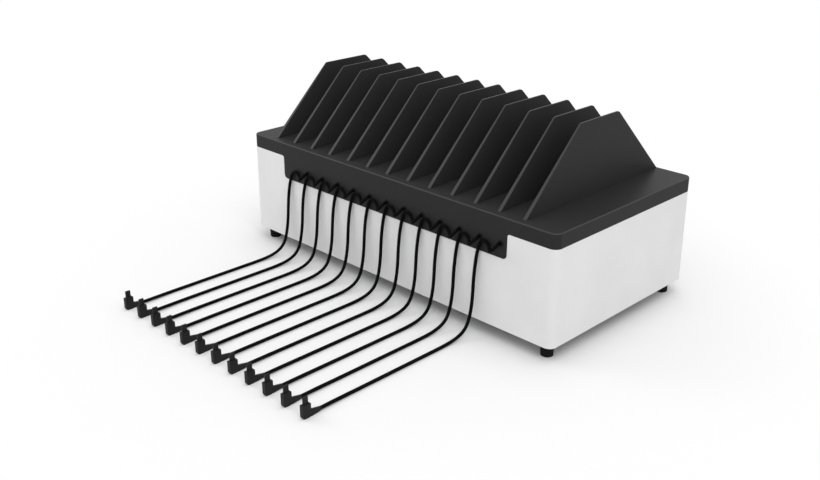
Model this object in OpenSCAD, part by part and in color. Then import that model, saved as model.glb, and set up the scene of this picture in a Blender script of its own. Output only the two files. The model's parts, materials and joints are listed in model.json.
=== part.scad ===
// Desktop charging station with twelve bays and twelve captive charging cords
// Millimetres. The origin is on the table under the middle of the body, front towards -Y, +Z up.

/* [Housing] */
// Width of the body at the top edge of the housing
body_w = 554; // [520:1:620]
// Depth of the body at the top edge of the housing
body_d = 283; // [276:1:320]
// Height of the white housing
housing_h = 124; // [116:1:150]
// How far each housing wall leans out at its lower edge
wall_lean = 1; // [0:0.5:2]
// Radius of the upright corners
corner_r = 10; // [6:1:16]
// Thickness of the housing walls at their top
wall_t = 3; // [2.5:0.5:4]
// Height of the feet under the housing
foot_h = 19; // [14:1:24]
// Distance from a lower edge of the housing to a foot's centre
foot_inset = 18.3; // [16:0.1:26]
// Radius of a foot at its top
foot_r = 8.5; // [6:0.1:10]
// Radius of a foot where it meets the table
foot_tip_r = 7.8; // [5:0.1:9]

/* [Cover] */
// Height of the cover's skirt, with the top plate
skirt_h = 19; // [15:1:26]
// Thickness of the cover's top plate
plate_t = 3; // [2:0.5:4]
// Round along the cover's top edge
edge_round = 1.5; // [0.5:0.5:2.5]
// Width of the apron that hangs from the skirt in front
apron_w = 413.4; // [400:0.2:440]
// Lower edge of the apron below the cover's top
apron_drop = 51.4; // [46:0.2:56]
// Radius of the apron's lower corners
apron_r = 6; // [3:1:8]
// Radius of the hollow corners where the apron meets the skirt
apron_flare_r = 3.5; // [2:0.5:5]
// Thickness of the rib that locates the cover inside the housing
rib_t = 2; // [1.5:0.5:3]
// How far the rib reaches below the skirt, and past the edge of the apron
rib_reach = 5; // [3:0.5:7]
// Side clearance between pieces that slot together
fit_gap = 0.3; // [0.2:0.05:0.5]

/* [Dividers] */
// Number of bays between the dividers
bays = 12; // [8:1:12]
// Distance from one divider to the next
bay_pitch = 38; // [34:0.5:39]
// Middle of the row of dividers, left of the middle of the cover
row_shift = 5.8; // [0:0.2:12]
// Thickness of a divider at its foot
divider_foot_t = 5; // [4:0.5:7]
// Thickness of a divider at its top
divider_top_t = 2; // [1.5:0.25:3]
// Height of a divider above the cover
divider_h = 94.5; // [80:0.5:120]
// Distance from the front edge of the cover to a divider's foot
divider_front_inset = 10.5; // [6:0.5:16]
// Distance from the back edge of the cover to a divider's foot
divider_back_inset = 1.5; // [1.5:0.5:8]
// Length of a divider's top edge
divider_top_l = 78; // [50:1:90]
// Front corner of the top edge, behind the front edge of the cover
divider_top_front = 106.5; // [90:0.5:120]
// Round of the front upper corner
front_corner_r = 5; // [2:0.5:8]
// Round of the back upper corner
back_corner_r = 9; // [4:0.5:14]
// Length of the tabs that hold a divider in the cover
tab_l = 16; // [12:1:24]
// Thickness of those tabs
tab_t = 2.4; // [2:0.2:3]
// Distance of each tab from the middle of the cover
tab_y = 80; // [60:1:90]
// How far a tab hooks under the top plate
tab_hook = 1; // [0.6:0.1:1.6]

/* [Charging cords] */
// Diameter of a charging cord
cord_d = 4.3; // [3.6:0.1:4.3]
// Height of the cord bushings below the cover's top
bushing_drop = 33; // [28:0.5:38]
// Diameter of a bushing's neck
bushing_neck_d = 5.6; // [5:0.1:6.4]
// Diameter of a bushing's flanges
bushing_flange_d = 7.4; // [7:0.1:9]
// Thickness of a bushing's flanges
bushing_flange_t = 1; // [0.8:0.1:1]

/* [Cord plugs] */
// Thickness of a plug from side to side
plug_w = 5.4; // [4.8:0.2:7]
// Length of a plug's body along the cord
plug_l = 11; // [8:0.5:14]
// Height of a plug's body
plug_h = 16.4; // [12:0.1:18]
// Round of the plug body's lower corners
plug_r = 3; // [1:0.5:4]
// Thickness of the connector tip
tip_t = 2; // [1.4:0.1:2.6]
// Width of the connector tip
tip_w = 6.4; // [4:0.2:7]
// Length of the connector tip
tip_h = 9; // [5:0.1:10]
// Length of the strain relief behind a plug
relief_l = 14; // [9:0.5:15]
// Height of the strain relief where it meets the plug
relief_h = 6.8; // [6:0.2:8]
// Diameter of the strain relief where the cord enters
relief_tip_d = 4.8; // [4.6:0.1:5.6]

/* [Underside] */
// Thickness of the bottom plate
base_t = 2.5; // [2:0.5:3]
// How far the bottom plate is set up into the housing
base_recess = 1; // [0.5:0.5:3]
// Radius of the screw posts
post_r = 4; // [3.5:0.5:5]
// Radius of the pilot holes in the posts
pilot_r = 1.3; // [1.1:0.1:1.5]
// Height of the posts that the bottom plate is screwed to
base_post_h = 24; // [18:1:40]
// Length of a ventilation slot
vent_l = 60; // [40:1:80]
// Width of a ventilation slot
vent_w = 3.2; // [2:0.2:4]
// Distance from one ventilation slot to the next
vent_pitch = 8; // [7:0.5:10]

/* [Screws] */
// Radius of a screw's shank
screw_r = 1.2; // [1:0.1:1.2]
// Radius of a screw's head
screw_head_r = 2.8; // [2.4:0.1:3.2]
// Height of a screw's head
screw_head_h = 2; // [1.5:0.1:2.5]
// Radius of the clearance holes for the screws
screw_hole_r = 1.6; // [1.4:0.1:1.8]

/* [Electronics] */
// Length of the power supply
supply_l = 200; // [160:1:220]
// Depth of the power supply
supply_d = 98; // [90:1:110]
// Height of the power supply
supply_h = 42; // [36:1:50]
// Length of the charging board
board_l = 384; // [380:1:392]
// Height of the charging board
board_h = 36; // [32:1:38]
// Thickness of the charging board
board_t = 1.6; // [1.2:0.2:2]
// Gap between the apron and the charging board
board_gap = 18; // [16:1:24]
// Length of an output socket, from the board towards the apron
socket_l = 10; // [8:0.5:11]
// Diameter of the leads inside the housing
lead_d = 3.4; // [2.6:0.2:3.6]

/* [Mains inlet and switch] */
// Middle of the mains inlet, right of the middle of the body
inlet_x = 205; // [180:1:220]
// Middle of the switch, right of the middle of the body
switch_x = 168; // [150:1:172]
// Height of the inlet and the switch above the table
inlet_z = 62; // [56:1:80]
// Width of the inlet's flange
inlet_w = 31; // [30:0.5:34]
// Height of the inlet's flange
inlet_h = 25; // [24:0.5:28]
// Width of the switch's bezel
switch_w = 15; // [14.5:0.5:18]
// Height of the switch's bezel
switch_h = 21; // [20:0.5:24]
// Thickness of the flanges of the inlet and the switch
flange_t = 2; // [1.5:0.5:2]
// How far the rocker tilts to each side of its middle
rocker_tilt = 9; // [5:1:9]

/* [Hidden] */
$fn = 48;
cords = 12;

// Heights above the table
shell_z = foot_h;
rim_z = foot_h + housing_h;
top_z = rim_z + skirt_h;
base_z = shell_z + base_recess;
floor_z = base_z + base_t;
apron_z = top_z - apron_drop;
cord_z = top_z - bushing_drop;
plate_z = top_z - plate_t;

// Insets of the layers of the wall, from the outer face inwards
rib_out = wall_t + fit_gap;
rib_in = rib_out + rib_t;

// Route of a cord, from its bushing to its plug. Each row holds the X of the cord at the right,
// the distance to the next cord, Y and Z. The rows pull the curve into the loop over the apron's
// edge, the drop down the front and the run along the table.
cord_rows = [
    [197, 31.9, -142.5, 129], [197, 31.9, -145, 129], [196.7, 31.9, -151.3, 126.1],
    [193, 31.9, -153.5, 121.1], [188, 31.9, -150.5, 117.8], [183.7, 31.9, -144.8, 120.2],
    [177.7, 32, -144.7, 127], [170.2, 32.1, -144.4, 125.9], [166.5, 32.2, -144.4, 118.5],
    [164, 32.3, -145, 106.5], [163, 32.4, -146.5, 90.5], [162.5, 32.4, -148, 72],
    [162.5, 32.5, -148.5, 52], [162.5, 32.6, -150.5, 35], [162.5, 32.6, -155, 18.5],
    [163, 32.7, -163, 9], [163, 32.7, -176.5, 4], [163, 32.7, -195, 2.2],
    [163, 32.7, -225, 2.2], [163, 32.7, -270, 2.2], [163, 32.7, -315, 2.2],
    [163, 32.7, -350, 2.3], [163.5, 32.6, -372, 2.9], [164, 32.6, -392, 3]];
// The rows of the tight loop get more rings
loop_rows = 9;
cord_sides = 8;

first_row = cord_rows[0];
last_row = cord_rows[len(cord_rows) - 1];
function exit_x(k) = first_row[0] - (cords - k) * first_row[1];
function plug_x(k) = last_row[0] - (cords - k) * last_row[1];
bushing_y = -body_d / 2;
function divider_x(i) = (i - 1 - bays / 2) * bay_pitch - row_shift;

// Places of the posts, feet and screws
post_inset = wall_t + post_r - 0.5;
foot_x = body_w / 2 + wall_lean - foot_inset;
foot_y = body_d / 2 + wall_lean - foot_inset;
base_posts = [for (x = [-0.4, -0.14, 0.14, 0.4], s = [-1, 1]) [x * body_w, s * (body_d / 2 - post_inset)]];
post_end = 4;
lug_inset = rib_in + post_r + 0.5;
lug_t = 3;
lug_w = 2 * post_r + 4;
lug_z = rim_z - rib_reach - lug_t - 1;
side_x = body_w / 2 - lug_inset;
corner_lug_x = side_x - 24;
cover_posts = concat(
    [for (x = [-1, 1], y = [-1, 1]) [x * corner_lug_x, y * (body_d / 2 - lug_inset)]],
    [[-side_x, 0], [side_x, 0]]);
board_y = -body_d / 2 + rib_in + board_gap;
board_mid_x = (exit_x(1) + exit_x(cords)) / 2;
board_bottom = cord_z - board_h / 2;
board_screw_inset = 5;
board_posts = [for (x = [-0.48, 0, 0.48], z = [board_screw_inset, board_h - board_screw_inset])
    [board_mid_x + x * board_l + (x == 0 ? first_row[1] / 2 : 0), board_bottom + z]];
board_post_r = 3;
screw_l = 8;

// Rows of ventilation slots: how many slots, and where the rows lie
back_vents = 13;
back_vents_x = -60;
back_vents_z = inlet_z + 6;
back_vents_h = 36;
base_vents = 11;
base_vents_x = 190;
function spread(n) = [for (i = [0:n - 1]) i - (n - 1) / 2];

// Supply's foot, lid, terminal block and slots
supply_foot_t = 4;
supply_step = 18;
terminal_block = [15, supply_d - 16, 14];
terminal_inset = 5;
terminal_z = supply_foot_t - 0.5;
supply_vents = 13;
supply_vents_l = 0.6 * supply_d;

// Components on the back of the charging board
chip = [8, 3, 6];
capacitor_r = 4;
capacitor_h = 10;
board_plug = [16, 9, 8];
board_plug_x = -14;
board_plug_z = 3;
board_back = board_y + board_t - 0.2;

// Leads inside the housing: straight stretch out of a piece, and the length that their bends are drawn in
lead_out = 10;
lead_bend = 10;
supply_x = -60;
supply_y = 30;
supply_screw_inset = 12;
supply_screws = [for (x = [-1, 1], y = [-1, 1])
    [supply_x + x * (supply_l / 2 - supply_screw_inset), supply_y + y * (supply_d / 2 - supply_screw_inset)]];

// Outer face of the leaning back wall at a height. The wall is upright over a narrow band at each end.
wall_band = 0.5;
function back_y(z) = body_d / 2 + wall_lean * (rim_z - wall_band - z) / (housing_h - 2 * wall_band);
inlet_y = back_y(inlet_z - inlet_h / 2);
switch_y = back_y(inlet_z - switch_h / 2);
inlet_body_w = 27;
inlet_body_h = 20;
inlet_body_l = 20;
socket_w = 24.4;
socket_h = 16.4;
socket_deep = 16;
blade_l = 13;
blade_t = 2;
blade_w = 4;
blades = [[-7, -0.5], [7, -0.5], [0, 3.5]];
switch_body_w = 13;
switch_body_h = 19;
switch_body_l = 16;
rocker_w = 9.8;
rocker_h = 15.6;
rocker_room = 0.4;
axle_r = 1.2;
axle_gap = 0.05;
axle_depth = 2;
rocker_y = switch_y + flange_t - axle_depth;

// Rounded rectangle of the body's outline, drawn in by inset
module outline(inset, grow = 0) {
    r = max(corner_r - inset, 1);
    w = body_w - 2 * inset + 2 * grow;
    d = body_d - 2 * inset + 2 * grow;
    square([w - 2 * r, d], center = true);
    square([w, d - 2 * r], center = true);
    for (x = [-1, 1], y = [-1, 1])
        translate([x * (w / 2 - r), y * (d / 2 - r)]) circle(r);
}

// Slab of that outline between two heights
module slab(z0, z1, inset, grow = 0) {
    translate([0, 0, z0]) linear_extrude(z1 - z0) outline(inset, grow);
}

// Apron seen from the front, with round lower corners and hollow upper ones
module apron_outline(grow) {
    w = apron_w / 2 + grow;
    z = apron_z - grow;
    r = apron_r + grow;
    f = apron_flare_r - min(grow, apron_flare_r - 0.5);
    translate([-w + r, z]) square([2 * (w - r), r]);
    translate([-w, z + r]) square([2 * w, rim_z - z - r]);
    for (s = [-1, 1]) {
        translate([s * (w - r), z + r]) circle(r);
        difference() {
            translate([s * (w + f / 2), rim_z - f / 2]) square(f, center = true);
            translate([s * (w + f), rim_z - f]) circle(f);
        }
    }
}

// Front-view outline, extruded from y0 back to y1
module front_plate(y0, y1) {
    translate([0, y1, 0]) rotate([90, 0, 0]) linear_extrude(y1 - y0) children();
}

module ring_of_posts(places, z0, z1, r) {
    for (p = places) translate([p[0], p[1], z0]) cylinder(h = z1 - z0, r = r);
}

// Pan-head screw, head down, its shank starting at the origin and pointing up
module screw(l) {
    translate([0, 0, -screw_head_h]) cylinder(h = screw_head_h, r = screw_head_r);
    cylinder(h = l, r = screw_r);
}

module housing() {
    color("white") difference() {
        union() {
            difference() {
                hull() {
                    slab(rim_z - wall_band, rim_z, 0);
                    slab(shell_z, shell_z + wall_band, 0, wall_lean);
                }
                slab(shell_z - 1, rim_z + 1, wall_t);
            }
            ring_of_posts(base_posts, floor_z, floor_z + base_post_h, post_r);
            for (p = cover_posts) lug(p);
        }
        ring_of_posts(base_posts, floor_z - 1, floor_z + base_post_h - post_end, pilot_r);
        ring_of_posts(cover_posts, lug_z - 1, lug_z + lug_t + 1, screw_hole_r);
        front_plate(-body_d / 2 - 5, -body_d / 2 + wall_t + 1) apron_outline(fit_gap);
        panel_hole(inlet_x, inlet_body_w, inlet_body_h);
        panel_hole(switch_x, switch_body_w, switch_body_h);
        back_vents();
    }
}

// Lug on the inside of the wall for one of the cover's screws
module lug(p) {
    on_side = p[1] == 0;
    reach = lug_inset - wall_t + 0.5;
    translate([p[0], p[1], lug_z]) {
        cylinder(h = lug_t, r = lug_w / 2);
        if (on_side)
            translate([sign(p[0]) * reach / 2, 0, lug_t / 2]) cube([reach, lug_w, lug_t], center = true);
        else
            translate([0, sign(p[1]) * reach / 2, lug_t / 2]) cube([lug_w, reach, lug_t], center = true);
    }
}

// Hole through the back wall for a fitting's body
module panel_hole(x, w, h) {
    translate([x, body_d / 2, inlet_z])
        cube([w + 2 * fit_gap, 4 * wall_t, h + 2 * fit_gap], center = true);
}

module back_vents() {
    for (i = spread(back_vents))
        translate([i * vent_pitch + back_vents_x, body_d / 2, back_vents_z])
            cube([vent_w, 4 * wall_t, back_vents_h], center = true);
}

module bottom_plate() {
    color("lightgray") difference() {
        slab(base_z, floor_z, wall_t + fit_gap);
        ring_of_posts(base_posts, base_z - 1, floor_z + 1, screw_hole_r);
        ring_of_posts(supply_screws, base_z - 1, floor_z + 1, screw_hole_r);
        for (x = [-1, 1], y = [-1, 1])
            translate([x * foot_x, y * foot_y, base_z - 1]) cylinder(h = base_t + 2, r = pilot_r);
        for (s = [-1, 1], i = spread(base_vents))
            translate([s * base_vents_x + i * vent_pitch, 0, base_z + base_t / 2])
                cube([vent_w, vent_l, 2 * base_t], center = true);
    }
}

module top_cover() {
    color("dimgray") difference() {
        union() {
            difference() {
                hull() {
                    slab(rim_z, rim_z + 1, 0);
                    for (a = [0:15:90]) round_layer(a);
                }
                slab(rim_z - 1, plate_z, rib_in);
            }
            difference() {
                slab(rim_z - rib_reach, rim_z + 1, rib_out);
                slab(rim_z - rib_reach - 1, rim_z + 2, rib_in);
            }
            front_plate(-body_d / 2, -body_d / 2 + rib_out + 0.5) apron_outline(0);
            front_plate(-body_d / 2 + rib_out, -body_d / 2 + rib_in) apron_outline(rib_reach);
            ring_of_posts(cover_posts, lug_z + lug_t, plate_z + 1, post_r);
            for (p = board_posts) board_post(p);
        }
        ring_of_posts(cover_posts, lug_z + lug_t - 1, plate_z - 2, pilot_r);
        for (p = board_posts)
            translate([p[0], board_y + 1, p[1]]) rotate([90, 0, 0]) cylinder(h = screw_l + 4, r = pilot_r);
        for (k = [1:cords])
            translate([exit_x(k), bushing_y + rib_in + 1, cord_z]) rotate([90, 0, 0])
                cylinder(h = rib_in + 2, r = bushing_neck_d / 2 + 0.2);
        for (i = [1:bays + 1], s = [-1, 1])
            translate([divider_x(i), s * tab_y, plate_z + plate_t / 2])
                cube([tab_t + 2 * fit_gap, tab_l + 2 * fit_gap, 2 * plate_t], center = true);
    }
}

// Thin layer of the round along the cover's top edge, from its foot at 0 degrees to its top at 90
module round_layer(a) {
    z = top_z - edge_round * (1 - sin(a));
    slab(z - 0.1, z, edge_round * (1 - cos(a)));
}

// Post behind the apron that the charging board is screwed to
module board_post(p) {
    translate([p[0], board_y, p[1]]) rotate([90, 0, 0])
        cylinder(h = board_gap + 0.5, r = board_post_r);
}

// Points of a rounded corner at p between the corners a and b
function unit(v) = v / norm(v);
function rounded(a, p, b, r, steps = 6) =
    let (u = unit(a - p), v = unit(b - p), half = acos(u * v) / 2, mid = unit(u + v),
         c = p + mid * r / sin(half), start = p + u * r / tan(half) - c, turn = 180 - 2 * half)
    [for (i = [0:steps]) c + [start[0] * cos(turn * i / steps) + start[1] * sin(turn * i / steps),
                              start[1] * cos(turn * i / steps) - start[0] * sin(turn * i / steps)]];

// Side view of a divider: a slanted front, a flat top and a long slanted back
divider_foot_front = [-body_d / 2 + divider_front_inset, top_z];
divider_foot_back = [body_d / 2 - divider_back_inset, top_z];
divider_nose = [-body_d / 2 + divider_top_front, top_z + divider_h];
divider_tail = divider_nose + [divider_top_l, 0];
divider_side = concat(
    [divider_foot_front],
    rounded(divider_foot_front, divider_nose, divider_tail, front_corner_r),
    rounded(divider_nose, divider_tail, divider_foot_back, back_corner_r),
    [divider_foot_back]);

module divider(i) {
    color("darkslategray") translate([divider_x(i), 0, 0]) {
        intersection() {
            translate([-divider_foot_t, 0, 0]) rotate([90, 0, 90])
                linear_extrude(2 * divider_foot_t) polygon(divider_side);
            front_plate(-body_d, body_d)
                polygon([[-divider_foot_t / 2, top_z], [divider_foot_t / 2, top_z],
                         [divider_top_t / 2, top_z + divider_h], [-divider_top_t / 2, top_z + divider_h]]);
        }
        for (s = [-1, 1]) translate([-tab_t / 2, s * tab_y, 0]) rotate([90, 0, 90])
            linear_extrude(tab_t) tab_side();
    }
}

// Side view of a divider's tab, with hooks that spring out under the top plate
module tab_side() {
    h = tab_l / 2;
    z = plate_z - 0.2;
    polygon([[-h, top_z + 0.5], [-h, z], [-h - tab_hook, z - 0.4], [-h + 1, z - 3.4],
             [h - 1, z - 3.4], [h + tab_hook, z - 0.4], [h, z], [h, top_z + 0.5]]);
}

// Smooth curve drawn by a list of points, which starts and ends on the list's own ends
function route(k) = [for (row = cord_rows) [row[0] - (cords - k) * row[1], row[2], row[3]]];
function with_ends(p) = let (n = len(p) - 1) concat([2 * p[0] - p[1]], p, [2 * p[n] - p[n - 1]]);
function on_curve(p, i, t) = ((1 - t) ^ 3 * p[i] + (3 * t ^ 3 - 6 * t ^ 2 + 4) * p[i + 1]
    + (-3 * t ^ 3 + 3 * t ^ 2 + 3 * t + 1) * p[i + 2] + t ^ 3 * p[i + 3]) / 6;
function curve(p, tight) = let (e = with_ends(p), last = len(p) - 2)
    concat([for (i = [0:last], s = [0:(i < tight ? 1 : 0)]) on_curve(e, i, i < tight ? s / 2 : 0)],
           [on_curve(e, last, 1)]);

// Tube of diameter d along points c, whose end faces stand square to the first and last stretch
function headings(c, first, last) = let (n = len(c) - 1)
    concat([first], [for (i = [1:n - 1]) unit(c[i + 1] - c[i - 1])], [last]);
function square_to(v, h) = unit(v - (v * h) * h);
function sides_of(h, i, v) = i == len(h) ? [] :
    let (w = square_to(v, h[i])) concat([w], sides_of(h, i + 1, w));

module tube(c, first, last, d) {
    h = headings(c, first, last);
    w = sides_of(h, 0, abs(first[0]) < 0.9 ? [1, 0, 0] : [0, 0, 1]);
    n = cord_sides;
    rings = len(c);
    points = [for (i = [0:rings - 1], a = [0:n - 1])
        c[i] + d / 2 * (cos(360 * a / n) * w[i] + sin(360 * a / n) * cross(h[i], w[i]))];
    walls = [for (i = [0:rings - 2], a = [0:n - 1], half = [0, 1])
        let (p = i * n + a, q = i * n + (a + 1) % n) half == 0 ? [p, p + n, q] : [q, p + n, q + n]];
    caps = [[for (a = [0:n - 1]) a], [for (a = [n - 1:-1:0]) (rings - 1) * n + a]];
    polyhedron(points, concat(walls, caps));
}

module cord(k) {
    p = route(k);
    n = len(p) - 1;
    color("black") tube(curve(p, loop_rows), unit(p[1] - p[0]), unit(p[n] - p[n - 1]), cord_d);
}

// Right-angle plug, lying on the table with its connector tip upwards
module plug(k) {
    y_back = last_row[2] - relief_l;
    axis_z = last_row[3];
    color("black") translate([plug_x(k), 0, 0]) {
        translate([-plug_w / 2, 0, 0]) rotate([90, 0, 90]) linear_extrude(plug_w)
            translate([y_back - plug_l, 0]) plug_side();
        translate([-tip_t / 2, y_back - (plug_l + tip_w) / 2, plug_h - 0.5])
            cube([tip_t, tip_w, tip_h + 0.5]);
        hull() {
            translate([-plug_w / 2, y_back - 0.1, 0.2]) cube([plug_w, 0.1, relief_h]);
            translate([0, last_row[2], axis_z]) rotate([90, 0, 0])
                cylinder(h = 0.1, d = relief_tip_d, $fn = 16);
        }
    }
}

module plug_side() {
    translate([plug_r, 0]) square([plug_l - 2 * plug_r, plug_h]);
    translate([0, plug_r]) square([plug_l, plug_h - plug_r]);
    for (y = [plug_r, plug_l - plug_r]) translate([y, plug_r]) circle(plug_r, $fn = 24);
}

module cord_bushings() {
    color("black") for (k = [1:cords]) translate([exit_x(k), bushing_y, cord_z]) rotate([-90, 0, 0]) {
        translate([0, 0, -bushing_flange_t]) cylinder(h = bushing_flange_t, d = bushing_flange_d, $fn = 24);
        cylinder(h = rib_in, d = bushing_neck_d, $fn = 24);
        translate([0, 0, rib_in]) cylinder(h = bushing_flange_t, d = bushing_flange_d, $fn = 24);
    }
}

// Tapered rubber foot with a recess for its screw
module foot(x, y) {
    color("black") translate([x * foot_x, y * foot_y, 0]) difference() {
        cylinder(h = base_z, r1 = foot_tip_r, r2 = foot_r);
        translate([0, 0, -1]) cylinder(h = 6, r = screw_head_r + 0.7);
        translate([0, 0, 4]) cylinder(h = base_z, r = screw_hole_r);
    }
}

module foot_screws() {
    color("silver") for (x = [-1, 1], y = [-1, 1])
        translate([x * foot_x, y * foot_y, 5]) screw(base_z - 5 + base_t + 3);
}

module bottom_plate_screws() {
    color("silver") for (p = base_posts) translate([p[0], p[1], base_z]) screw(base_t + screw_l);
}

module cover_screws() {
    color("silver") for (p = cover_posts) translate([p[0], p[1], lug_z]) screw(lug_t + screw_l);
}

// Enclosed power supply with a row of terminals at its right end
module power_supply() {
    color("gainsboro") translate([supply_x, supply_y, floor_z]) difference() {
        union() {
            translate([-supply_l / 2, -supply_d / 2, 0]) cube([supply_l, supply_d, supply_foot_t]);
            translate([-supply_l / 2, -supply_d / 2, 0]) cube([supply_l - supply_step, supply_d, supply_h]);
            translate([supply_l / 2 - terminal_inset - terminal_block[0], -terminal_block[1] / 2, terminal_z])
                cube(terminal_block);
        }
        for (i = spread(supply_vents)) translate([i * vent_pitch - supply_step / 2, 0, supply_h])
            cube([vent_w, supply_vents_l, 4], center = true);
        for (p = supply_screws)
            translate([p[0] - supply_x, p[1] - supply_y, -1]) cylinder(h = screw_l + 2, r = pilot_r);
    }
}

module power_supply_screws() {
    color("silver") for (p = supply_screws) translate([p[0], p[1], base_z]) screw(base_t + 3);
}

// Upright circuit board behind the apron with its larger components
module charging_board() {
    color("darkgreen") difference() {
        union() {
            translate([board_mid_x - board_l / 2, board_y, board_bottom]) cube([board_l, board_t, board_h]);
            for (k = [1:cords])
                translate([exit_x(k) - chip[0] / 2, board_back, cord_z - chip[2] / 2]) cube(chip);
            for (x = [-0.32, 0.32])
                translate([board_mid_x + x * board_l, board_back, board_bottom + 2 * capacitor_r])
                    rotate([-90, 0, 0]) cylinder(h = capacitor_h, r = capacitor_r, $fn = 24);
            translate([board_end[0] - board_plug[0] / 2, board_back, board_end[2] - board_plug[2] / 2])
                cube(board_plug);
        }
        for (p = board_posts)
            translate([p[0], board_y + board_t + 1, p[1]]) rotate([90, 0, 0])
                cylinder(h = board_t + 2, r = screw_hole_r);
    }
}

module board_screws() {
    color("silver") for (p = board_posts)
        translate([p[0], board_y + board_t, p[1]]) rotate([90, 0, 0]) screw(board_t + screw_l);
}

module output_sockets() {
    color("ivory") for (k = [1:cords]) translate([exit_x(k), board_y - socket_l / 2, cord_z])
        cube([9, socket_l, 7], center = true);
}

module output_leads() {
    start = bushing_y + rib_in + bushing_flange_t;
    color("black") for (k = [1:cords]) translate([exit_x(k), start, cord_z]) rotate([-90, 0, 0])
        cylinder(h = board_y - socket_l - start, d = lead_d, $fn = 24);
}

// Lead inside the housing that runs through a few points, with straight ends
module inner_lead(p) {
    n = len(p) - 1;
    tube(curve(p, 0), unit(p[1] - p[0]), unit(p[n] - p[n - 1]), lead_d);
}

// Middle of the terminal block's right face, and of the supply's plug on the charging board
terminals = [supply_x + supply_l / 2 - terminal_inset, supply_y,
             floor_z + terminal_z + terminal_block[2] / 2];
board_end = [board_mid_x + board_plug_x, board_back + board_plug[1],
             board_bottom + board_plug_z + board_plug[2] / 2];

// Lead from the power supply to the charging board
module supply_lead() {
    a = terminals - [0, terminal_block[1] / 3, 0];
    b = board_end + [0, 4 * lead_bend, 0];
    color("red") inner_lead([a, a + [lead_out, 0, 0], a + lead_bend * [3, -0.5, 0.5],
        a + lead_bend * [3, -3, 1.5], b + lead_bend * [2, 1, -4], b,
        board_end + [0, lead_out, 0], board_end]);
}

// Leads from the inlet to the switch, and from the switch to the power supply
module mains_leads() {
    out = [0, -lead_out, 0];
    from_inlet = [inlet_x, inlet_y - inlet_body_l, inlet_z];
    to_switch = [switch_x + switch_body_w / 4, switch_y - switch_body_l, inlet_z];
    from_switch = [switch_x - switch_body_w / 4, switch_y - switch_body_l, inlet_z];
    a = terminals + [0, terminal_block[1] / 3, 0];
    color("saddlebrown") {
        inner_lead([from_inlet, from_inlet + out, from_inlet + lead_bend * [-0.5, -2.5, -0.5],
            to_switch + lead_bend * [0.5, -2.5, -0.5], to_switch + out, to_switch]);
        inner_lead([from_switch, from_switch + out, from_switch + lead_bend * [-1, -3, -1],
            a + lead_bend * [6, 0.5, 1.5], a + lead_bend * [3, 0, 0.5], a + [lead_out, 0, 0], a]);
    }
}

// Mains inlet with a flange on the outside and a deep socket
module mains_inlet() {
    color("black") translate([inlet_x, inlet_y, inlet_z]) difference() {
        union() {
            translate([0, flange_t / 2, 0]) cube([inlet_w, flange_t, inlet_h], center = true);
            translate([0, -inlet_body_l / 2 + 0.5, 0])
                cube([inlet_body_w, inlet_body_l + 1, inlet_body_h], center = true);
        }
        translate([0, flange_t - socket_deep / 2 + 0.5, 0])
            cube([socket_w, socket_deep + 1, socket_h], center = true);
    }
}

module inlet_pins() {
    y = inlet_y + flange_t - socket_deep;
    color("silver") for (b = blades)
        translate([inlet_x + b[0] - blade_t / 2, y, inlet_z + b[1] - blade_w / 2])
            cube([blade_t, blade_l, blade_w]);
}

// Frame of the switch, with the axle that carries the rocker
module switch_bezel() {
    color("black") translate([switch_x, switch_y, inlet_z]) {
        difference() {
            union() {
                translate([0, flange_t / 2, 0]) cube([switch_w, flange_t, switch_h], center = true);
                translate([0, -switch_body_l / 2 + 0.5, 0])
                    cube([switch_body_w, switch_body_l + 1, switch_body_h], center = true);
            }
            translate([0, flange_t, 0])
                cube([rocker_w + 2 * rocker_room, 16, rocker_h + 2 * rocker_room], center = true);
        }
        translate([-switch_body_w / 2 + 0.5, rocker_y - switch_y, 0]) rotate([0, 90, 0])
            cylinder(h = switch_body_w - 1, r = axle_r);
    }
}

// Rocker with a dished face, stored pressed in at its upper end
module switch_rocker() {
    h = rocker_h / 2;
    color("black") translate([switch_x - rocker_w / 2, rocker_y, inlet_z])
        rotate([rocker_tilt, 0, 0]) rotate([90, 0, 90]) difference() {
            linear_extrude(rocker_w)
                polygon([[-1.5, -h], [4.2, -h], [3, 0], [4.2, h], [-1.5, h], [-2.8, 3], [-2.8, -3]]);
            translate([0, 0, -1]) cylinder(h = rocker_w + 2, r = axle_r + axle_gap);
        }
}

housing();
bottom_plate();
top_cover();
for (i = [1:bays + 1])
    divider(i);
for (k = [1:cords])
    cord(k);
for (k = [1:cords])
    plug(k);
cord_bushings();
foot(-1, -1);  // foot_front_left
foot(1, -1);  // foot_front_right
foot(-1, 1);  // foot_back_left
foot(1, 1);  // foot_back_right
foot_screws();
bottom_plate_screws();
cover_screws();
power_supply();
power_supply_screws();
charging_board();
board_screws();
output_sockets();
output_leads();
supply_lead();
mains_leads();
mains_inlet();
inlet_pins();
switch_bezel();
switch_rocker();
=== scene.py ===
"""A desktop charging station: white housing, charcoal cover with thirteen dividers, twelve captive cords.

Metres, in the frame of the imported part: the front faces -Y, +Z is up and the table is at Z 0.
"""

import json
from math import radians

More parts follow.
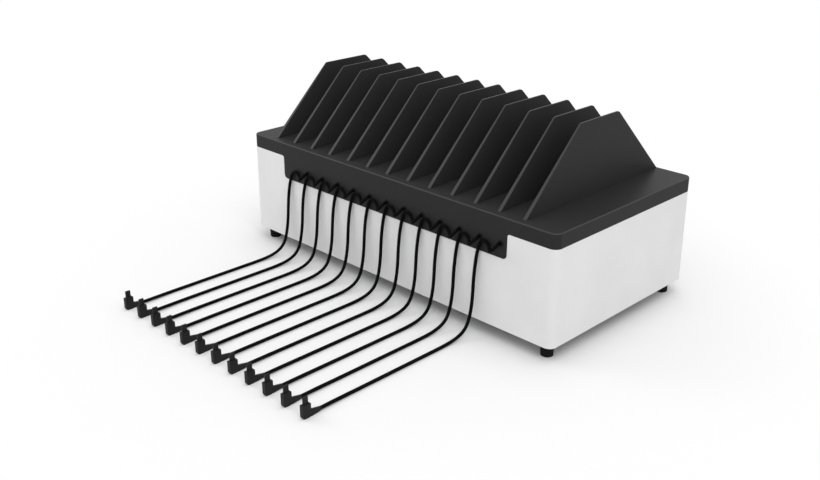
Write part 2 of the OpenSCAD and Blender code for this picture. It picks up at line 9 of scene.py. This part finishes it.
import bmesh
import bpy
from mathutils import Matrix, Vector

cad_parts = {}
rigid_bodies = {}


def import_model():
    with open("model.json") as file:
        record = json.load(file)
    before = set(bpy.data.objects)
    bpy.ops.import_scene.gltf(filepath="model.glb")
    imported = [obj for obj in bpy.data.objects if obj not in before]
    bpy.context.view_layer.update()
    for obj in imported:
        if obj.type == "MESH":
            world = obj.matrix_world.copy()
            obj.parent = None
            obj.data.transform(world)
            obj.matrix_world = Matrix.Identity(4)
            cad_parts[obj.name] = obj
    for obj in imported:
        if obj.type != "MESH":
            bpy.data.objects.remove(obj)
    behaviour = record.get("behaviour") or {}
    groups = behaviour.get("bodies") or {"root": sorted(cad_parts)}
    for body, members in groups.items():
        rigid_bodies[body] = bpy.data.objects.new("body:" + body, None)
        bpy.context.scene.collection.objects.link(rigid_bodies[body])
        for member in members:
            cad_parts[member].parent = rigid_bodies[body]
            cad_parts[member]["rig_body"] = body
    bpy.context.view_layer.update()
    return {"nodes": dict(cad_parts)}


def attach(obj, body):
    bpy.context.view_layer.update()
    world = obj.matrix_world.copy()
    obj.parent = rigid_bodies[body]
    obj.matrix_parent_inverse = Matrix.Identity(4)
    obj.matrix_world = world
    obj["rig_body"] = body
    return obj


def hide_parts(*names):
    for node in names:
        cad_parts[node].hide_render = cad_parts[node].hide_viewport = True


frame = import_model()

# Housing
# A long box without a bottom, injection moulded in white plastic, with walls that lean out by 1 mm so
# that it leaves the mould. Its front is cut out for the cover's apron, its back for the air slots, the
# mains inlet and the switch.
MM = 0.001
WHITE = (0.715, 0.715, 0.715)
HOUSING_EDGE = 0.5 * MM


def new_finish(name):
    """A finish with its shader, its object coordinates and the functions that add and join nodes."""
    finish = bpy.data.materials.new(name)
    finish.use_nodes = True
    tree = finish.node_tree
    place = tree.nodes.new("ShaderNodeTexCoord").outputs["Object"]
    return finish, tree.nodes["Principled BSDF"], place, tree.nodes.new, tree.links.new


def mottle(place, add, join, scale, detail):
    """Noise of a scale, in marks per metre, over the piece's own coordinates."""
    noise = add("ShaderNodeTexNoise")
    noise.inputs["Scale"].default_value = scale
    noise.inputs["Detail"].default_value = detail
    join(place, noise.inputs["Vector"])
    return noise.outputs["Fac"]


# Stretch of the noise over which a tone drifts from its darkest to its lightest
DRIFT_BAND = (0.3, 0.7)


def tint(surface, factor, add, join, colour, spread):
    """Lets the base colour drift around a colour by a share of it."""
    tone = add("ShaderNodeValToRGB")
    for stop, position, share in zip(tone.color_ramp.elements, DRIFT_BAND, (1 - spread, 1 + spread)):
        stop.position = position
        stop.color = (*(share * c for c in colour), 1)
    join(factor, tone.inputs["Fac"])
    join(tone.outputs["Color"], surface.inputs["Base Color"])


def wear(surface, factor, add, join, low, high):
    """Lets the roughness run between two values."""
    worn = add("ShaderNodeMapRange")
    worn.inputs["To Min"].default_value = low
    worn.inputs["To Max"].default_value = high
    join(factor, worn.inputs["Value"])
    join(worn.outputs["Result"], surface.inputs["Roughness"])


RELIEF_STRENGTH = 0.6


def relief(surface, factor, add, join, depth):
    """Raises the surface along a pattern, by a depth in metres."""
    bump = add("ShaderNodeBump")
    bump.inputs["Distance"].default_value = depth
    bump.inputs["Strength"].default_value = RELIEF_STRENGTH
    join(factor, bump.inputs["Height"])
    join(bump.outputs["Normal"], surface.inputs["Normal"])


def grained_plastic(name, colour, roughness, grain=0.35 * MM, gloss=0.5):
    """Plastic from a grained mould: a faintly drifting tone, an even fine grain and a satin sheen."""
    finish, surface, place, add, join = new_finish(name)
    surface.inputs["Specular IOR Level"].default_value = gloss
    drift = mottle(place, add, join, scale=14, detail=3)
    tint(surface, drift, add, join, colour, spread=0.03)
    wear(surface, drift, add, join, low=roughness - 0.04, high=roughness + 0.04)
    relief(surface, mottle(place, add, join, scale=1 / grain, detail=2), add, join, depth=0.012 * MM)
    return finish


# Points closer than the gap are welded, faces flatter than the angle are joined into one, and edges
# sharper than the last angle are rounded
WELD_GAP = 0.002 * MM
FLAT_WITHIN = radians(0.5)
SHARP_FROM = radians(28)
ROUND_STEPS = 3


def moulding(name, node, finish, edge, edge_finish=None):
    """A piece with the node's own shape, whose sharp edges are rounded as its mould rounds them."""
    shape = bmesh.new()
    shape.from_mesh(frame["nodes"][node].data)
    bmesh.ops.remove_doubles(shape, verts=shape.verts, dist=WELD_GAP)
    bmesh.ops.dissolve_limit(shape, angle_limit=FLAT_WITHIN, verts=shape.verts, edges=shape.edges)
    mesh = bpy.data.meshes.new(name)
    shape.to_mesh(mesh)
    shape.free()
    mesh.shade_smooth()
    mesh.materials.append(finish)
    piece = bpy.data.objects.new(name, mesh)
    bpy.context.scene.collection.objects.link(piece)
    rounding = piece.modifiers.new("rounded edges", "BEVEL")
    rounding.width = edge
    rounding.segments = ROUND_STEPS
    rounding.limit_method = "ANGLE"
    rounding.angle_limit = SHARP_FROM
    rounding.harden_normals = True
    if edge_finish:
        mesh.materials.append(edge_finish)
        rounding.material = 1
    flats = piece.modifiers.new("flat faces", "WEIGHTED_NORMAL")
    flats.keep_sharp = True
    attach(piece, frame["nodes"][node]["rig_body"])
    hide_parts(node)
    return piece


white_plastic = grained_plastic("white satin plastic", WHITE, roughness=0.4)
moulding("housing_shell", "housing", white_plastic, HOUSING_EDGE)

# Mains inlet
# A standard appliance inlet in the back wall: a glossier black moulding with a deep socket. Its three
# tinned pins stand in the socket, with edges ground round so that they slide into the connector.
INLET_BLACK = (0.012, 0.012, 0.012)
TINNED = (0.75, 0.72, 0.62)
inlet_plastic = grained_plastic("black inlet plastic", INLET_BLACK, roughness=0.3, grain=0.6 * MM)
moulding("mains_inlet_body", "mains_inlet", inlet_plastic, edge=0.6 * MM)


def plated_metal(name, colour, roughness, marks=180):
    """Plated metal: slightly uneven in tone, with fine drawing marks that break up the shine."""
    finish, surface, place, add, join = new_finish(name)
    surface.inputs["Metallic"].default_value = 1
    drift = mottle(place, add, join, scale=marks, detail=4)
    tint(surface, drift, add, join, colour, spread=0.08)
    wear(surface, drift, add, join, low=roughness - 0.08, high=roughness + 0.1)
    relief(surface, mottle(place, add, join, scale=9 * marks, detail=2), add, join, depth=0.004 * MM)
    return finish


tinned_brass = plated_metal("tinned brass", TINNED, roughness=0.28)
moulding("mains_inlet_pins", "inlet_pins", tinned_brass, edge=0.3 * MM)

# Power switch
# A rocker switch beside the inlet: a bezel that snaps into the wall, and a dished rocker on an axle,
# both in black plastic. The rocker is polished more than the bezel, as it comes from another mould.
switch_plastic = grained_plastic("black switch plastic", INLET_BLACK, roughness=0.38, grain=0.5 * MM)
moulding("switch_bezel_frame", "switch_bezel", switch_plastic, edge=0.5 * MM)
rocker_plastic = grained_plastic("black rocker plastic", INLET_BLACK, roughness=0.22, grain=0.8 * MM)
moulding("switch_rocker_cap", "switch_rocker", rocker_plastic, edge=0.35 * MM)

# Power supply
# A folded sheet case on the bottom plate, slotted for air, with a terminal block at its right end.
# The sheet is galvanised, so its shine has the broad soft spangle of zinc.
GALVANISED = (0.6, 0.61, 0.62)
galvanised = plated_metal("galvanised sheet", GALVANISED, roughness=0.42, marks=90)
moulding("power_supply_case", "power_supply", galvanised, edge=0.3 * MM)

# Leads inside the housing
# Round single leads with a PVC jacket: red from the power supply to the charging board, brown from the
# inlet through the switch to the power supply, black from the board's sockets to the bushings.
LEAD_RED = (0.35, 0.01, 0.008)
LEAD_BROWN = (0.09, 0.03, 0.012)
LEAD_BLACK = (0.008, 0.008, 0.008)


def lead_jacket(name, colour):
    """Soft PVC of a lead, a little duller where it has been handled."""
    finish, surface, place, add, join = new_finish(name)
    surface.inputs["Specular IOR Level"].default_value = 0.3
    handled = mottle(place, add, join, scale=220, detail=4)
    tint(surface, handled, add, join, colour, spread=0.06)
    wear(surface, handled, add, join, low=0.42, high=0.6)
    relief(surface, handled, add, join, depth=0.02 * MM)
    return finish


def dress(node, finish):
    """Gives a node that is shown as it is its finish."""
    mesh = frame["nodes"][node].data
    mesh.materials.clear()
    mesh.materials.append(finish)


dress("supply_lead", lead_jacket("red lead jacket", LEAD_RED))
dress("mains_leads", lead_jacket("brown lead jacket", LEAD_BROWN))
dress("output_leads", lead_jacket("black lead jacket", LEAD_BLACK))

# Charging board
# A green circuit board on six posts behind the apron, with a chip for each output, two capacitors
# and the supply's plug on its back, and an ivory nylon socket for each output on its front.
LACQUER = (0.005, 0.07, 0.02, 1)
LACQUER_THIN = (0.006, 0.085, 0.026, 1)
LACQUER_OVER_TRACKS = (0.015, 0.16, 0.05, 1)
TRACK_SCALE = 90
TRACK_WIDTH = 0.05
IVORY = (0.7, 0.66, 0.52)


def solder_mask(name):
    """Green lacquer over copper tracks, which show as paler straight runs under it."""
    finish, surface, place, add, join = new_finish(name)
    tracks = add("ShaderNodeTexBrick")
    tracks.inputs["Scale"].default_value = TRACK_SCALE
    tracks.inputs["Mortar Size"].default_value = TRACK_WIDTH
    tracks.inputs["Color1"].default_value = LACQUER
    tracks.inputs["Color2"].default_value = LACQUER_THIN
    tracks.inputs["Mortar"].default_value = LACQUER_OVER_TRACKS
    join(place, tracks.inputs["Vector"])
    join(tracks.outputs["Color"], surface.inputs["Base Color"])
    wear(surface, mottle(place, add, join, scale=60, detail=2), add, join, low=0.22, high=0.34)
    relief(surface, tracks.outputs["Fac"], add, join, depth=0.03 * MM)
    return finish


moulding("charging_board_assembly", "charging_board", solder_mask("green solder mask"), edge=0.15 * MM)
ivory_nylon = grained_plastic("ivory nylon", IVORY, roughness=0.45, grain=0.6 * MM)
moulding("output_socket_row", "output_sockets", ivory_nylon, edge=0.3 * MM)

# Cover
# One charcoal moulding: the top plate, its skirt, and the apron that hangs down into the housing's
# cut-out in front. Its finish is dull, so that the white surroundings hardly show in it, but its
# edges are glossier and carry a painted highlight: a lighter charcoal colour on the rounds.
CHARCOAL = (0.0235, 0.0235, 0.0235)
# Lighter charcoal painted on the rounded edges as a highlight
PAINTED_HIGHLIGHT_CHARCOAL = (0.042, 0.042, 0.042)
COVER_EDGE = 0.3 * MM
# The round along the top edge lies above this height, and its faces lean by this much of upward
RIM_ABOVE = 158 * MM
RIM_STEEPEST = 0.2
RIM_FLATTEST = 0.97
cover_plastic = grained_plastic("charcoal cover plastic", CHARCOAL, 0.42, grain=0.3 * MM, gloss=0.07)
painted_highlight_charcoal = grained_plastic("charcoal edge with painted highlight", PAINTED_HIGHLIGHT_CHARCOAL, 0.4, grain=0.5 * MM, gloss=0.15)
cover = moulding("cover_moulding", "top_cover", cover_plastic, COVER_EDGE, edge_finish=painted_highlight_charcoal)
# The faces of the round along the top edge take the lighter charcoal of the painted highlight
for face in cover.data.polygons:
    leans = RIM_STEEPEST < face.normal.z < RIM_FLATTEST
    face.material_index = int(leans and face.center.z > RIM_ABOVE)

# Dividers
# Thirteen upright charcoal plates, thicker at the foot, with a slanted front, a flat top and a long
# slanted back. Each snaps into two slots of the cover with the hooked tabs under its foot. The narrow
# faces all round a plate carry the same painted highlight as the cover's edges: a lighter charcoal
# colour.
DIVIDERS = 13
DIVIDER_CHARCOAL = (0.031, 0.031, 0.031)
DIVIDER_EDGE = 0.5 * MM
# The two broad sides of a plate face along X by more than this share
BROAD_SIDE = 0.5
divider_plastic = grained_plastic(
    "charcoal divider plastic", DIVIDER_CHARCOAL, 0.45, grain=0.3 * MM, gloss=0.05)
for number in range(1, DIVIDERS + 1):
    name = f"divider_{number}"
    plate = moulding(f"{name}_plate", name, divider_plastic, DIVIDER_EDGE, edge_finish=painted_highlight_charcoal)
    # The narrow faces take the lighter charcoal of the painted highlight
    for face in plate.data.polygons:
        face.material_index = int(abs(face.normal.x) < BROAD_SIDE)

# Cord bushings
# Black rubber bushings that are pulled into the apron's holes, with a flange on each side of it. Each
# grips one cord where it leaves the housing.
BUSHING_BLACK = (0.008, 0.008, 0.008)
bushing_rubber = grained_plastic("black bushing rubber", BUSHING_BLACK, 0.6, gloss=0.15)
moulding("cord_bushing_row", "cord_bushings", bushing_rubber, edge=0.25 * MM)

# Charging cords
# Twelve captive cords with a smooth black jacket, 4.3 mm thick. Each comes straight out of its
# bushing, loops over to the left on the apron, drops down the front and runs out along the table.
CORDS = 12
CORD_D = 4.3 * MM
JACKET_BLACK = (0.0013, 0.0013, 0.0013)
# Each row holds the X of the cord at the right, the distance to the next cord, Y and Z
CORD_ROWS = [
    (197, 31.9, -142.5, 129), (197, 31.9, -145, 129), (196.7, 31.9, -151.3, 126.1),
    (193, 31.9, -153.5, 121.1), (188, 31.9, -150.5, 117.8), (183.7, 31.9, -144.8, 120.2),
    (177.7, 32, -144.7, 127), (170.2, 32.1, -144.4, 125.9), (166.5, 32.2, -144.4, 118.5),
    (164, 32.3, -145, 106.5), (163, 32.4, -146.5, 90.5), (162.5, 32.4, -148, 72),
    (162.5, 32.5, -148.5, 52), (162.5, 32.6, -150.5, 35), (162.5, 32.6, -155, 18.5),
    (163, 32.7, -163, 9), (163, 32.7, -176.5, 4), (163, 32.7, -195, 2.2),
    (163, 32.7, -225, 2.2), (163, 32.7, -270, 2.2), (163, 32.7, -315, 2.2),
    (163, 32.7, -350, 2.3), (163.5, 32.6, -372, 2.9), (164, 32.6, -392, 3)]


def cord_route(number):
    """The points that pull one cord's curve, from its bushing to its plug."""
    return [Vector((x - (CORDS - number) * step, y, z)) * MM for x, step, y, z in CORD_ROWS]


def cord_jacket():
    """Black rubbery jacket without a shine, dusty here and there."""
    finish, surface, place, add, join = new_finish("black cord jacket")
    surface.inputs["Specular IOR Level"].default_value = 0.05
    dust = mottle(place, add, join, scale=220, detail=4)
    tint(surface, dust, add, join, JACKET_BLACK, spread=0.25)
    wear(surface, dust, add, join, low=0.5, high=0.7)
    relief(surface, dust, add, join, depth=0.006 * MM)
    return finish


jacket = cord_jacket()
cords = []
for number in range(1, CORDS + 1):
    pulls = cord_route(number)
    # One more point past each end makes the curve start and stop on the route's own ends
    pulls = [2 * pulls[0] - pulls[1], *pulls, 2 * pulls[-1] - pulls[-2]]
    line = bpy.data.curves.new(f"charging_cord_{number}", "CURVE")
    line.dimensions = "3D"
    line.bevel_depth = CORD_D / 2
    line.bevel_resolution = 4
    line.use_fill_caps = True
    spline = line.splines.new("NURBS")
    spline.points.add(len(pulls) - 1)
    for point, pull in zip(spline.points, pulls):
        point.co = (*pull, 1)
    spline.order_u = 4
    spline.resolution_u = 8
    line.materials.append(jacket)
    cord = bpy.data.objects.new(f"charging_cord_{number}", line)
    bpy.context.scene.collection.objects.link(cord)
    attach(cord, "station")
    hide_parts(f"cord_{number}")
    cords.append(cord)

# Cord plugs
# Right-angle plugs, overmoulded in black on the cord's end. They lie on the table on their backs
# with the connector tip up, and taper down to the cord through a plain strain relief.
PLUG_BLACK = (0.014, 0.014, 0.014)
plug_plastic = grained_plastic("black plug plastic", PLUG_BLACK, 0.5, grain=0.25 * MM, gloss=0.12)
for number, cord in enumerate(cords, 1):
    plug = moulding(f"cord_plug_{number}", f"plug_{number}", plug_plastic, edge=0.7 * MM)

# Bottom plate
# A grey plastic plate that closes the housing from below, with two rows of air slots and the holes
# for its screws. It comes from a coarser grained mould, since nobody sees it in use.
BOTTOM_GREY = (0.3, 0.3, 0.305)
grey_plastic = grained_plastic("grey bottom plastic", BOTTOM_GREY, roughness=0.5, grain=0.7 * MM)
moulding("bottom_plate_moulding", "bottom_plate", grey_plastic, edge=0.3 * MM)

# Feet
# Four tapered black rubber feet, moulded, each with a recess for the screw that holds it to the
# bottom plate.
FOOT_BLACK = (0.006, 0.006, 0.006)
foot_rubber = grained_plastic("black foot rubber", FOOT_BLACK, roughness=0.7, gloss=0.1)
for corner in ("front_left", "front_right", "back_left", "back_right"):
    moulding(f"rubber_foot_{corner}", f"foot_{corner}", foot_rubber, edge=0.6 * MM)

# Screws
# Pan-head screws, zinc plated. Those of the feet and the bottom plate show from below, the others
# hold the cover, the charging board and the power supply from inside.
ZINC = (0.62, 0.62, 0.6)
zinc = plated_metal("zinc plating", ZINC, roughness=0.33)
for node in ("foot_screws", "bottom_plate_screws", "cover_screws", "board_screws", "power_supply_screws"):
    moulding(f"{node}_set", node, zinc, edge=0.4 * MM)

# Studio
# A pale table top that fades to white away from the station, and an even white surround. A soft box
# at the left draws the slanted front edges of the dividers, a wide key light stands high at the
# right, and a third lamp hangs overhead.
PLAIN_WHITE = (1, 1, 1, 1)
TABLE_REACH = 30
TABLE_PALE = (0.785, 0.785, 0.785, 1)
FADE_CENTRE = (0, -0.13, 0)
FADE_FROM = 0.32
FADE_TO = 0.6
SURROUND_LIGHT = 0.83
STATION_MIDDLE = Vector((0, 0, 0.1))
bpy.context.scene.view_settings.view_transform = "Standard"
table_mesh = bpy.data.meshes.new("table_top")
corners = [(x * TABLE_REACH, y * TABLE_REACH, 0) for x, y in ((-1, -1), (1, -1), (1, 1), (-1, 1))]
table_mesh.from_pydata(corners, [], [(0, 1, 2, 3)])
table = bpy.data.objects.new("table_top", table_mesh)
bpy.context.scene.collection.objects.link(table)
table_paint = bpy.data.materials.new("pale table paint")
table_paint.use_nodes = True
paint = table_paint.node_tree.nodes["Principled BSDF"]
paint.inputs["Base Color"].default_value = TABLE_PALE
paint.inputs["Roughness"].default_value = 0.9
paint.inputs["Specular IOR Level"].default_value = 0.1
table_mesh.materials.append(table_paint)


def seen_rays(add, join):
    """Counts the rays from the camera, also those that come by way of a gloss or a glass."""
    rays = add("ShaderNodeLightPath")
    seen = rays.outputs["Is Camera Ray"]
    for kind in ("Is Glossy Ray", "Is Transmission Ray"):
        either = add("ShaderNodeMath")
        either.operation = "MAXIMUM"
        join(seen, either.inputs[0])
        join(rays.outputs[kind], either.inputs[1])
        seen = either.outputs[0]
    return seen


# Away from the station the table fades into a plain white for these rays, with no horizon
add = table_paint.node_tree.nodes.new
join = table_paint.node_tree.links.new
away = add("ShaderNodeVectorMath")
away.operation = "DISTANCE"
away.inputs[1].default_value = FADE_CENTRE
join(add("ShaderNodeTexCoord").outputs["Object"], away.inputs[0])
fade = add("ShaderNodeMapRange")
fade.interpolation_type = "SMOOTHSTEP"
fade.inputs["From Min"].default_value = FADE_FROM
fade.inputs["From Max"].default_value = FADE_TO
join(away.outputs["Value"], fade.inputs["Value"])
amount = add("ShaderNodeMath")
amount.operation = "MULTIPLY"
join(fade.outputs["Result"], amount.inputs[0])
join(seen_rays(add, join), amount.inputs[1])
plain_white = add("ShaderNodeEmission")
plain_white.inputs["Color"].default_value = PLAIN_WHITE
blend = add("ShaderNodeMixShader")
join(amount.outputs[0], blend.inputs["Fac"])
join(paint.outputs[0], blend.inputs[1])
join(plain_white.outputs[0], blend.inputs[2])
join(blend.outputs[0], table_paint.node_tree.nodes["Material Output"].inputs["Surface"])

# The surround lights the station at one strength and is plain white where it is seen
surround = bpy.data.worlds.new("white surround")
bpy.context.scene.world = surround
surround.use_nodes = True
add = surround.node_tree.nodes.new
join = surround.node_tree.links.new
light = surround.node_tree.nodes["Background"]
light.inputs["Color"].default_value = PLAIN_WHITE
light.inputs["Strength"].default_value = SURROUND_LIGHT
backdrop = add("ShaderNodeBackground")
backdrop.inputs["Color"].default_value = PLAIN_WHITE
blend = add("ShaderNodeMixShader")
join(seen_rays(add, join), blend.inputs["Fac"])
join(light.outputs[0], blend.inputs[1])
join(backdrop.outputs[0], blend.inputs[2])
join(blend.outputs[0], surround.node_tree.nodes["World Output"].inputs["Surface"])


def soft_light(name, place, width, height, watts):
    """A rectangular lamp that faces the middle of the station."""
    lamp = bpy.data.lights.new(name, "AREA")
    lamp.shape = "RECTANGLE"
    lamp.size = width
    lamp.size_y = height
    lamp.energy = watts
    stand = bpy.data.objects.new(name, lamp)
    bpy.context.scene.collection.objects.link(stand)
    stand.location = place
    stand.rotation_euler = (STATION_MIDDLE - stand.location).to_track_quat("-Z", "Y").to_euler()


soft_light("soft box", (-1.5, -0.95, 1.15), width=0.9, height=0.9, watts=7)
soft_light("key light", (1.5, -1.0, 2.4), width=1.6, height=1.4, watts=22)
soft_light("overhead light", (0.2, 0.3, 2.6), width=1.6, height=1.2, watts=12)

# Camera
# The place and angle that were fitted to the photograph: 1.4 m from the point it looks at, to the
# right of the front, looking down by 23 degrees.
LENS = 43.08
SENSOR_WIDTH = 36
CAMERA_PLACE = (0.8669, -0.9554, 0.5725)
LOOKS_AT = Vector((-0.0388, -0.0552, 0.0374))
camera_data = bpy.data.cameras.new("camera")
camera_data.lens = LENS
camera_data.sensor_width = SENSOR_WIDTH
camera = bpy.data.objects.new("camera", camera_data)
bpy.context.scene.collection.objects.link(camera)
camera.location = CAMERA_PLACE
camera.rotation_euler = (LOOKS_AT - camera.location).to_track_quat("-Z", "Y").to_euler()
bpy.context.scene.camera = camera
